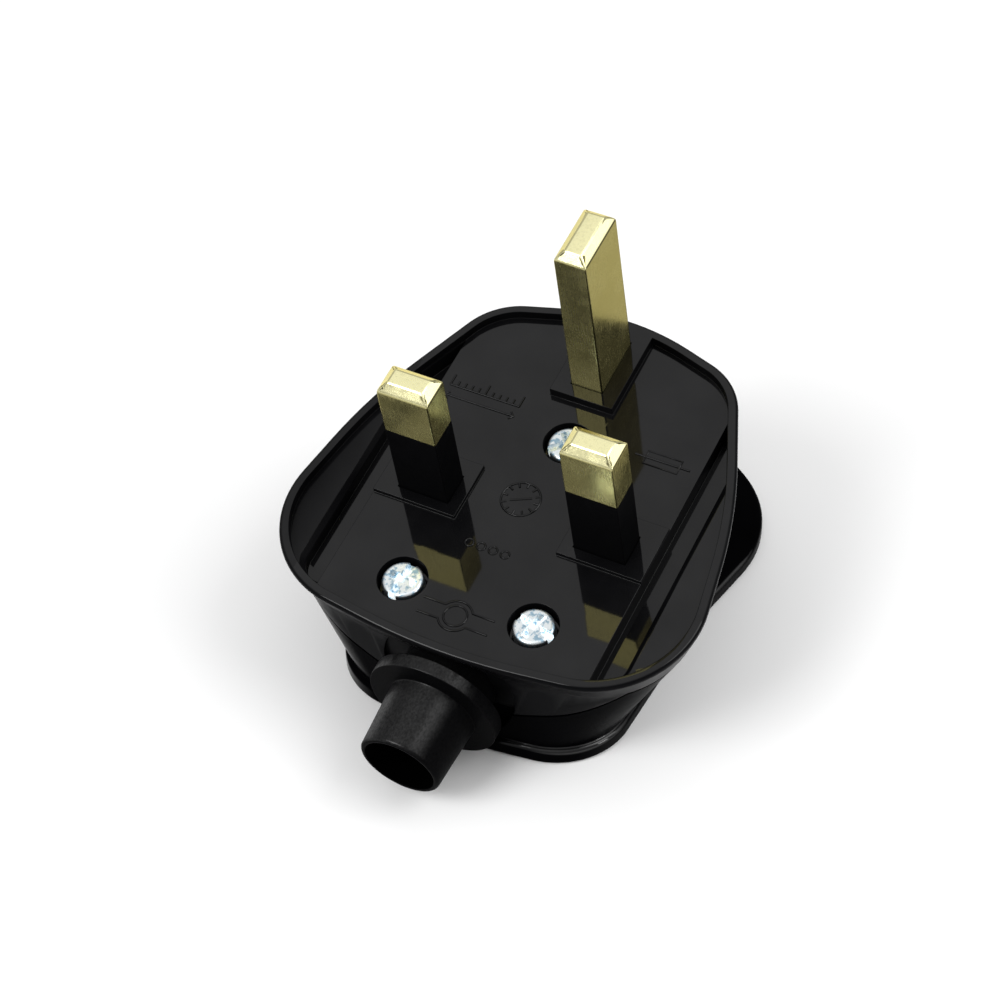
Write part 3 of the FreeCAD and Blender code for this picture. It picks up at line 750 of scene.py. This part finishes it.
@dataclass
class Dressing:
    """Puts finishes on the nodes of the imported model."""

    frame: PlugFrame
    nodes: dict[str, bpy.types.Object]
    seam: float = 0.002
    ease_steps: int = 2
    ease_angle: float = 40.0
    shade_weight: int = 100

    def dress(self, finish: Finish, *names: str) -> None:
        """Make a finish and put it on some nodes.

        Args:
            finish: The finish.
            names: Nodes that take it.
        """
        material = finish.make(self.frame)
        for name in names:
            node = self.nodes[name]
            node.data.materials.clear()
            node.data.materials.append(material)
            log.info("dressed %s with %s", name, finish.name)

    def ease(self, width: float, *names: str) -> None:
        """Round the sharp edges of some nodes, as moulding and tumbling leave them.

        Args:
            width: Width of the rounding in millimetres.
            names: Nodes that take it.
        """
        for name in names:
            stack = self.nodes[name].modifiers
            weld = stack.new("joined_seams", "WELD")
            weld.merge_threshold = self.seam * MM
            edge = stack.new("eased_edges", "BEVEL")
            edge.width = width * MM
            edge.segments = self.ease_steps
            edge.limit_method = "ANGLE"
            edge.angle_limit = math.radians(self.ease_angle)
            edge.use_clamp_overlap = False
            edge.loop_slide = False
            shade = stack.new("even_shading", "WEIGHTED_NORMAL")
            shade.weight = self.shade_weight
            log.info("eased the edges of %s", name)


@dataclass
class Housing:
    """Base, cover, cord guard and the grip bar behind it."""

    dressing: Dressing
    base_ease: float = 0.08
    guard_ease: float = 0.12

    def dress(self) -> None:
        """Give the mouldings and the guard their finishes."""
        self.dressing.dress(MouldedPlastic("moulded_black"), "base")
        self.dressing.dress(
            MouldedPlastic(
                "cover_black",
                # Painted shade: darker than the base's black, for the shade the cover sits in below the
                # base.
                dark=(0.0007, 0.0007, 0.0009),
                light=(0.0015, 0.0015, 0.0018),
                level=0.004,
                polish=0.0,
                side_polish=0.8,
                right_polish=0.1,
                edge_polish=1.0,
                edge_round=0.35,
                edge_height=(4.0, 6.0),
                opening=(9.5, 10.0),
            ),
            "cover",
        )
        self.dressing.ease(self.base_ease, "base")
        self.dressing.ease(self.guard_ease, "cord_guard")
        self.dressing.dress(SoftGuardPlastic("guard_black"), "cord_guard")
        grip = DullSolid(
            "grip_black",
            dark=(0.02, 0.02, 0.022),
            light=(0.045, 0.045, 0.047),
            gloss=(0.4, 0.53),
        )
        self.dressing.dress(grip, "cord_grip_bar")


@dataclass
class PinSet:
    """The three pins and two sleeves."""

    dressing: Dressing
    pin_ease: float = 0.18
    sleeve_ease: float = 0.1

    def dress(self) -> None:
        """Give the pins drawn brass and the sleeves their black."""
        self.dressing.dress(DrawnBrass("pin_brass"), "earth_pin", "line_pin", "neutral_pin")
        self.dressing.dress(SleevePlastic("sleeve_black"), "line_sleeve", "neutral_sleeve")
        self.dressing.ease(self.pin_ease, "earth_pin", "line_pin", "neutral_pin")
        self.dressing.ease(self.sleeve_ease, "line_sleeve", "neutral_sleeve")


@dataclass
class Fixings:
    """Screws, nut and washer."""

    dressing: Dressing

    def dress(self) -> None:
        """Give the fixings their plating and the washer its fibre."""
        self.dressing.dress(PlatedSteel("plated_screws"), "cord_grip_screws", "cover_screw")
        inside = PlatedSteel("plated_inside", gloss=(0.54, 0.34))
        self.dressing.dress(inside, "cover_screw_nut", "terminal_screws")
        fibre = DullSolid(
            "red_fibre",
            dark=(0.32, 0.09, 0.05),
            light=(0.48, 0.17, 0.1),
            gloss=(0.65, 0.78),
        )
        self.dressing.dress(fibre, "cover_screw_washer")


@dataclass
class FuseWay:
    """The fuse with its clips and the terminal at its far end."""

    dressing: Dressing

    def dress(self) -> None:
        """Give the fuse and its carriers their finishes."""
        clip = DrawnBrass("clip_brass", gloss=(0.31, 0.48), lines=(1.0, 0.1, 1.0))
        self.dressing.dress(clip, "fuse_clip_pin_end", "fuse_clip_load_end", "load_terminal")
        nickel = PlatedSteel(
            "cap_nickel",
            bright=(0.86, 0.84, 0.79),
            dull=(0.7, 0.67, 0.6),
            gloss=(0.38, 0.18),
            patch_scale=0.5,
        )
        self.dressing.dress(nickel, "fuse_cap_pin_end", "fuse_cap_load_end")
        barrel = DullSolid(
            "glazed_barrel",
            dark=(0.74, 0.71, 0.63),
            light=(0.85, 0.83, 0.77),
            gloss=(0.17, 0.3),
        )
        self.dressing.dress(barrel, "fuse_barrel")


Point = tuple[float, float]
Line = tuple[Run, list[Point]]


def arc(x: float, y: float, radius: float, start: float, end: float, steps: int) -> list[Point]:
    """Give points along an arc.

    Args:
        x: The centre's X.
        y: The centre's Y.
        radius: The arc's radius.
        start: Angle of the first point in degrees.
        end: Angle of the last point in degrees.
        steps: How many runs the arc has.

    Returns:
        The points from start to end.
    """
    turns = [math.radians(start + (end - start) * i / steps) for i in range(steps + 1)]
    return [(x + radius * math.cos(turn), y + radius * math.sin(turn)) for turn in turns]


def ring(x: float, y: float, radius: float, steps: int) -> Line:
    """Give a closed circle.

    Args:
        x: The centre's X.
        y: The centre's Y.
        radius: The circle's radius.
        steps: How many runs the circle has.

    Returns:
        The closed line.
    """
    return Run.CLOSED, arc(x, y, radius, 0.0, FULL_TURN, steps)[:-1]


@dataclass
class FaceMarks:
    """Raised signs on the floor of the face: half-round moulded ridges."""

    frame: PlugFrame
    floor: float = -1.1
    ridge: float = 0.13
    ridge_steps: int = 2
    edge_polish: float = 0.8
    gauge_start: Point = (-15.6, 13.6)
    gauge_ticks: int = 10
    gauge_group: int = 5
    gauge_pitch: float = 0.9
    gauge_height: float = 1.5
    short_tick: float = 0.75
    gauge_barb: float = 0.5
    clock: Point = (-0.6, 1.9)
    clock_radius: float = 2.3
    clock_steps: int = 32
    clock_ticks: int = 12
    tick_start: float = 0.72
    hand_reach: Point = (1.15, 0.575)
    cavity: Point = (-3.4, -5.6)
    cavity_dots: int = 4
    cavity_pitch: float = 1.5
    cavity_radius: float = 0.5
    cavity_steps: int = 14
    clamp: Point = (-0.4, -15.0)
    clamp_half: float = 4.4
    cord_radius: float = 1.35
    cord_steps: int = 24
    saddle_share: float = 1.45
    saddle_ends: Ramp = (150.0, 30.0)
    saddle_steps: int = 10
    fuse: Point = (12.2, 12.6)
    fuse_half: Point = (2.1, 0.9)
    fuse_lead: float = 1.3

    def build(self) -> None:
        """Make every sign."""
        finish = MouldedPlastic("mark_black", edge_polish=self.edge_polish).make(self.frame)
        signs = {
            "strip_gauge": self.strip_gauge(),
            "date_clock": self.date_clock(),
            "cavity_dots": self.dots(),
            "clamp_sign": self.clamp_sign(),
            "fuse_sign": self.fuse_sign(),
        }
        for name, lines in signs.items():
            self.raise_lines(name, lines, finish)

    def strip_gauge(self) -> list[Line]:
        """Draw a wire-stripping gauge: a ruled scale over a line with a barb at each end."""
        x, y = self.gauge_start
        end = x + self.gauge_ticks * self.gauge_pitch
        lines = [(Run.OPEN, [(x, y), (end, y)])]
        for i in range(self.gauge_ticks + 1):
            reach = self.short_tick if i % self.gauge_group else self.gauge_height
            tick = x + i * self.gauge_pitch
            lines.append((Run.OPEN, [(tick, y), (tick, y + reach)]))
        low = y - self.gauge_height
        lines.append((Run.OPEN, [(x, low), (end, low)]))
        for tip, barb in ((x, self.gauge_barb), (end, -self.gauge_barb)):
            rise = self.gauge_barb
            lines.append((Run.OPEN, [(tip + barb, low + rise), (tip, low), (tip + barb, low - rise)]))
        return lines

    def date_clock(self) -> list[Line]:
        """Draw a moulder's date clock: a ring, its ticks and a pointer."""
        x, y = self.clock
        lines = [ring(x, y, self.clock_radius, self.clock_steps)]
        for i in range(self.clock_ticks):
            turn = math.radians(FULL_TURN * i / self.clock_ticks)
            ends = [self.clock_radius * self.tick_start, self.clock_radius]
            lines.append((Run.OPEN, [(x + r * math.cos(turn), y + r * math.sin(turn)) for r in ends]))
        reach, rise = self.hand_reach
        lines.append((Run.OPEN, [(x - reach, y - rise), (x + reach, y + rise)]))
        return lines

    def dots(self) -> list[Line]:
        """Draw a row of small rings that number the mould's cavity."""
        x, y = self.cavity
        centres = [x + i * self.cavity_pitch for i in range(self.cavity_dots)]
        return [ring(centre, y, self.cavity_radius, self.cavity_steps) for centre in centres]

    def clamp_sign(self) -> list[Line]:
        """Draw a round cord held between the jaws of its clamp."""
        x, y = self.clamp
        saddle = self.cord_radius * self.saddle_share
        start, end = self.saddle_ends
        lines = [ring(x, y, self.cord_radius, self.cord_steps)]
        for side in (1.0, -1.0):
            bow = arc(x, y, saddle, start * side, end * side, self.saddle_steps)
            level = bow[0][1]
            lines.append((Run.OPEN, [(x - self.clamp_half, level), *bow, (x + self.clamp_half, level)]))
        return lines

    def fuse_sign(self) -> list[Line]:
        """Draw the circuit sign of a fuse: a box with a wire through it."""
        x, y = self.fuse
        half_x, half_y = self.fuse_half
        left, right, low, high = x - half_x, x + half_x, y - half_y, y + half_y
        box = [(left, low), (right, low), (right, high), (left, high)]
        wire = [(left - self.fuse_lead, y), (right + self.fuse_lead, y)]
        return [(Run.CLOSED, box), (Run.OPEN, wire)]

    def raise_lines(self, name: str, lines: list[Line], finish: bpy.types.Material) -> None:
        """Raise drawn lines as half-round ridges on the floor of the face.

        Args:
            name: The piece's name.
            lines: The lines to raise.
            finish: The piece's material.
        """
        curve = bpy.data.curves.new(name, "CURVE")
        curve.dimensions = "3D"
        curve.bevel_depth = self.ridge * MM
        curve.bevel_resolution = self.ridge_steps
        curve.use_fill_caps = True
        for run, points in lines:
            spline = curve.splines.new("POLY")
            spline.points.add(len(points) - 1)
            spline.use_cyclic_u = run is Run.CLOSED
            for point, (x, y) in zip(spline.points, points):
                point.co = (*self.frame.place(x, y, self.floor), 1.0)
        drawn = bpy.data.objects.new(name, curve)
        piece = bpy.data.objects.new(name, bpy.data.meshes.new_from_object(drawn))
        bpy.data.objects.remove(drawn)
        piece.data.materials.clear()
        piece.data.materials.append(finish)
        piece.data.shade_smooth()
        bpy.context.scene.collection.objects.link(piece)
        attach(piece, "root")
        log.info("raised %s", name)


@dataclass(frozen=True)
class SoftBox:
    """A square soft lamp aimed at the plug, placed in the row frame."""

    name: str
    place_mm: Triple
    side_mm: float
    power: float

    def make(self, aim: Vector) -> None:
        """Make the lamp.

        Args:
            aim: Point that the lamp faces.
        """
        data = bpy.data.lights.new(self.name, "AREA")
        data.shape = "SQUARE"
        data.size = self.side_mm * MM
        data.energy = self.power
        lamp = bpy.data.objects.new(self.name, data)
        lamp.location = Vector(self.place_mm) * MM
        lamp.rotation_euler = (aim - lamp.location).to_track_quat("-Z", "Y").to_euler()
        bpy.context.scene.collection.objects.link(lamp)
        log.info("hung %s", self.name)


@dataclass
class Studio:
    """White floor, a surround that is bright overhead, and soft lamps."""

    floor_mm: float = 6000.0
    floor_white: Colour = (0.95, 0.95, 0.95)
    floor_rough: float = 0.9
    horizon: float = 0.45
    overhead: float = 0.9
    horizon_top: float = 0.6
    overhead_bottom: float = 0.88
    lamps: tuple[SoftBox, ...] = (
        SoftBox("front_box", (-340.0, -650.0, 680.0), 420.0, 4.7),
        SoftBox("top_box", (600.0, 100.0, 800.0), 500.0, 2.4),
        SoftBox("right_strip", (940.0, -60.0, 320.0), 220.0, 1.2),
        SoftBox("right_fill", (800.0, 480.0, 450.0), 600.0, 1.1),
    )

    def build(self) -> None:
        """Make the floor, the surround and the lamps."""
        self.make_floor()
        self.make_surround()
        low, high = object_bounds()
        for lamp in self.lamps:
            lamp.make((low + high) / 2)

    def make_floor(self) -> None:
        """Make the pale floor, which keeps the plug's shadow."""
        bpy.ops.mesh.primitive_plane_add(size=self.floor_mm * MM)
        floor = bpy.context.object
        floor.name = "floor"
        material = bpy.data.materials.new("white_floor")
        material.use_nodes = True
        shader = material.node_tree.nodes["Principled BSDF"]
        shader.inputs["Base Color"].default_value = (*self.floor_white, 1.0)
        shader.inputs["Roughness"].default_value = self.floor_rough
        shader.inputs["Specular IOR Level"].default_value = 0.0
        floor.data.materials.append(material)
        floor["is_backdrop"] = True
        log.info("laid the floor")

    def make_surround(self) -> None:
        """Make a surround like a wide overhead softbox in a dimmer room."""
        world = bpy.data.worlds.new("soft_surround")
        bpy.context.scene.world = world
        world.use_nodes = True
        tree = world.node_tree
        coords = tree.nodes.new("ShaderNodeTexCoord")
        split = tree.nodes.new("ShaderNodeSeparateXYZ")
        tree.links.new(coords.outputs["Generated"], split.inputs["Vector"])
        level = tree.nodes.new("ShaderNodeMapRange")
        level.interpolation_type = "SMOOTHSTEP"
        level.inputs["From Min"].default_value = self.horizon_top
        level.inputs["From Max"].default_value = self.overhead_bottom
        level.inputs["To Min"].default_value = self.horizon
        level.inputs["To Max"].default_value = self.overhead
        tree.links.new(split.outputs["Z"], level.inputs["Value"])
        sky = tree.nodes["Background"]
        sky.inputs["Color"].default_value = (1.0, 1.0, 1.0, 1.0)
        tree.links.new(level.outputs["Result"], sky.inputs["Strength"])
        log.info("lit the surround")


@dataclass(frozen=True)
class PhotoCamera:
    """The photograph's camera, placed in the plug's frame."""

    eye: Triple = (104.26, -149.81, 255.99)
    forward: Triple = (-0.338, 0.476, -0.8119)
    down: Triple = (0.3075, -0.7595, -0.5733)
    lens: float = 100.42
    sensor: float = 36.0
    near: float = 10.0

    def make(self, frame: PlugFrame) -> None:
        """Make the camera and make it the scene's.

        Args:
            frame: The plug's frame.
        """
        data = bpy.data.cameras.new("photo_camera")
        data.lens = self.lens
        data.sensor_width = self.sensor
        data.clip_start = self.near * MM
        camera = bpy.data.objects.new("photo_camera", data)
        back = -frame.direction(*self.forward).normalized()
        up = -frame.direction(*self.down)
        side = up.cross(back).normalized()
        turn = Matrix((side, back.cross(side), back)).transposed()
        camera.matrix_world = Matrix.Translation(frame.place(*self.eye)) @ turn.to_4x4()
        bpy.context.scene.collection.objects.link(camera)
        bpy.context.scene.camera = camera
        log.info("set the camera")


def main() -> None:
    """Load the model, dress it, and set the studio and the camera."""
    logging.basicConfig(level=logging.INFO, format="%(name)s: %(message)s")
    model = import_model()
    frame = PlugFrame.from_record(model["record"])
    dressing = Dressing(frame, model["nodes"])
    for group in (Housing, PinSet, Fixings, FuseWay):
        group(dressing).dress()
    FaceMarks(frame).build()
    Studio().build()
    PhotoCamera().make(frame)
    bpy.context.scene.view_settings.view_transform = "Standard"


if __name__ == "__main__":
    main()
